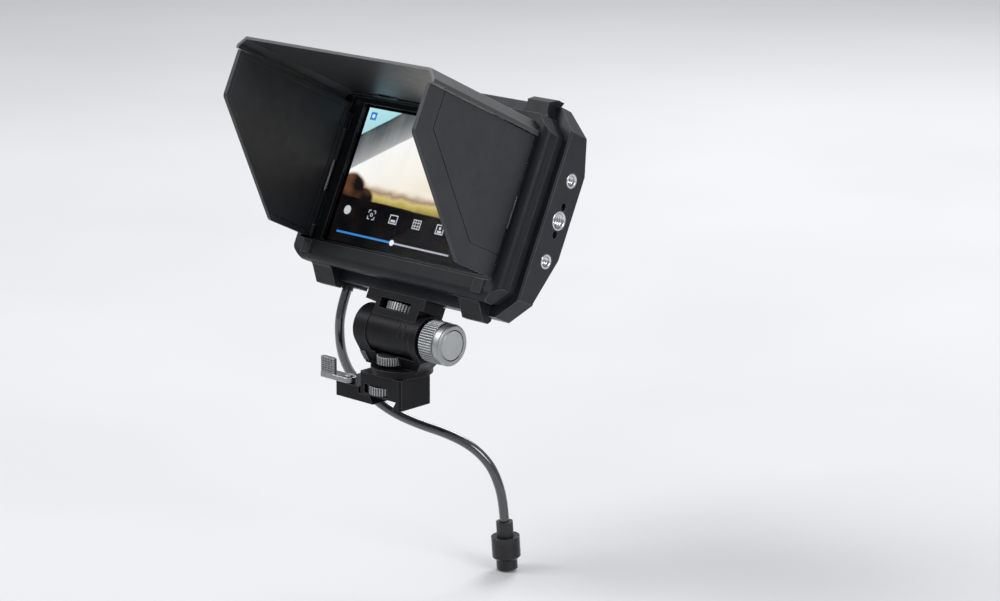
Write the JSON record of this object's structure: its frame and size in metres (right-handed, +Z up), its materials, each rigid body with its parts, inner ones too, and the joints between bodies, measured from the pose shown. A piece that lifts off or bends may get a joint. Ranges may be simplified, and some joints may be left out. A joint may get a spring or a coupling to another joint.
{
  "type": "camera field monitor with sun hood",
  "caption": "On-camera field monitor in a metal cage with a folding three-panel sun hood, on a tilting and swivelling clamp mount, with its video cable.",
  "frame": {"origin": "middle of the rail clamp's foot, at the level of the foot's lower face", "axes": "+X to the right of a person who faces the screen, +Y away from that person, +Z up; the tilt axle lies along X"},
  "size_m": [0.168, 0.1413, 0.3225],
  "materials": {
    "black_metal": "satin black anodised metal",
    "hood_plastic": "satin black moulded plastic",
    "housing_plastic": "fine-grained black moulded plastic",
    "cover_glass": "anti-glare coated glass",
    "panel": "display panel",
    "backlight": "white light guide",
    "board": "solder-masked board",
    "bright_metal": "knurled, clear anodised",
    "steel": "plain machined steel",
    "sink": "black finned aluminium",
    "index_grey": "brushed grey",
    "washer": "slippery white plastic",
    "gasket": "soft foam rubber",
    "cable": "glossy black cable sheath",
    "plug": "moulded black plastic",
    "connector": "nickel-plated shell"
  },
  "bodies": {
    "base": {"clamp_base": "black_metal", "swivel_washer": "washer"},
    "jaw": {"moving_jaw": "black_metal", "jaw_rods": "steel", "lever_pin": "steel"},
    "lever": {"clamp_lever": "bright_metal"},
    "base_wheel": {"base_wheel": "bright_metal"},
    "yoke": {"yoke": "black_metal", "tilt_axle": "steel", "tilt_washers": "washer", "index_plate": "index_grey"},
    "swivel_wheel": {"swivel_wheel": "bright_metal"},
    "knob": {"tilt_knob": "bright_metal", "knob_cap": "bright_metal"},
    "monitor": {"head_block": "black_metal", "cage": "black_metal", "quarter_inch_inserts": "steel", "three_eighths_inserts": "steel", "front_bezel": "housing_plastic", "cover_glass": "cover_glass", "lcd_panel": "panel", "backlight": "backlight", "housing_gasket": "gasket", "rear_housing": "housing_plastic", "mainboard": "board", "board_standoffs": "steel", "board_screws": "steel", "heat_sink": "sink", "video_socket": "steel", "cover_screws": "steel", "hood_frame": "hood_plastic", "upper_hooks": "hood_plastic", "lower_hooks": "hood_plastic", "left_hinge_pin": "steel", "right_hinge_pin": "steel", "top_hinge_pins": "steel", "left_hinge_spring": "steel", "right_hinge_spring": "steel", "cable_plug": "plug", "video_cable": "cable", "far_collar": "plug", "far_connector": "connector"},
    "mounting_wheel": {"mounting_wheel": "bright_metal"},
    "left_flap": {"left_flap": "hood_plastic"},
    "right_flap": {"right_flap": "hood_plastic"},
    "top_panel": {"top_panel": "hood_plastic"},
    "power_button": {"power_button": "housing_plastic"}
  },
  "joints": [
    {"name": "swivel", "type": "hinge", "parent": "base", "child": "yoke", "pos_m": [0, 0.003, 0.0204], "axis": [0, 0, 1], "range_deg": [-90, 90]},
    {"name": "base_wheel_turn", "type": "hinge", "parent": "base", "child": "base_wheel", "pos_m": [-0.0052, -0.0054, 0.0087], "axis": [0, 0, 1], "continuous": true},
    {"name": "jaw_slide", "type": "slide", "parent": "base", "child": "jaw", "axis": [-1, 0, 0], "range_m": [0, 0.0016]},
    {"name": "lever_turn", "type": "hinge", "parent": "jaw", "child": "lever", "pos_m": [-0.03, -0.01, 0.0104], "axis": [0, 0, 1], "range_deg": [0, 90]},
    {"name": "tilt", "type": "hinge", "parent": "yoke", "child": "monitor", "pos_m": [0, 0, 0.042], "axis": [1, 0, 0], "range_deg": [-64, 86]},
    {"name": "swivel_wheel_turn", "type": "hinge", "parent": "yoke", "child": "swivel_wheel", "pos_m": [-0.0016, -0.0042, 0.0267], "axis": [0, 0, 1], "continuous": true},
    {"name": "tilt_knob_turn", "type": "hinge", "parent": "yoke", "child": "knob", "pos_m": [0.034, 0, 0.042], "axis": [1, 0, 0], "continuous": true},
    {"name": "mounting_wheel_turn", "type": "hinge", "parent": "monitor", "child": "mounting_wheel", "pos_m": [0, 0.00566, 0.05359], "axis": [0, 0.4384, 0.8988], "continuous": true},
    {"name": "left_flap_fold", "type": "hinge", "parent": "monitor", "child": "left_flap", "pos_m": [-0.07365, 0.01977, 0.12359], "axis": [0, 0.4384, 0.8988], "range_deg": [0, 90]},
    {"name": "right_flap_fold", "type": "hinge", "parent": "monitor", "child": "right_flap", "pos_m": [0.07365, 0.01698, 0.12495], "axis": [0, -0.4384, -0.8988], "range_deg": [0, 90]},
    {"name": "top_panel_lift", "type": "hinge", "parent": "monitor", "child": "top_panel", "pos_m": [0, 0.03345, 0.16899], "axis": [-1, 0, 0], "range_deg": [0, 90]},
    {"name": "power_button_press", "type": "slide", "parent": "monitor", "child": "power_button", "axis": [0, -0.4384, -0.8988], "range_m": [0, 0.0008], "stiffness_N_per_m": 300}
  ],
  "couplings": [
    {"joint": "lever_turn", "follows": "jaw_slide", "rad_per_m": 981.7}
  ]
}
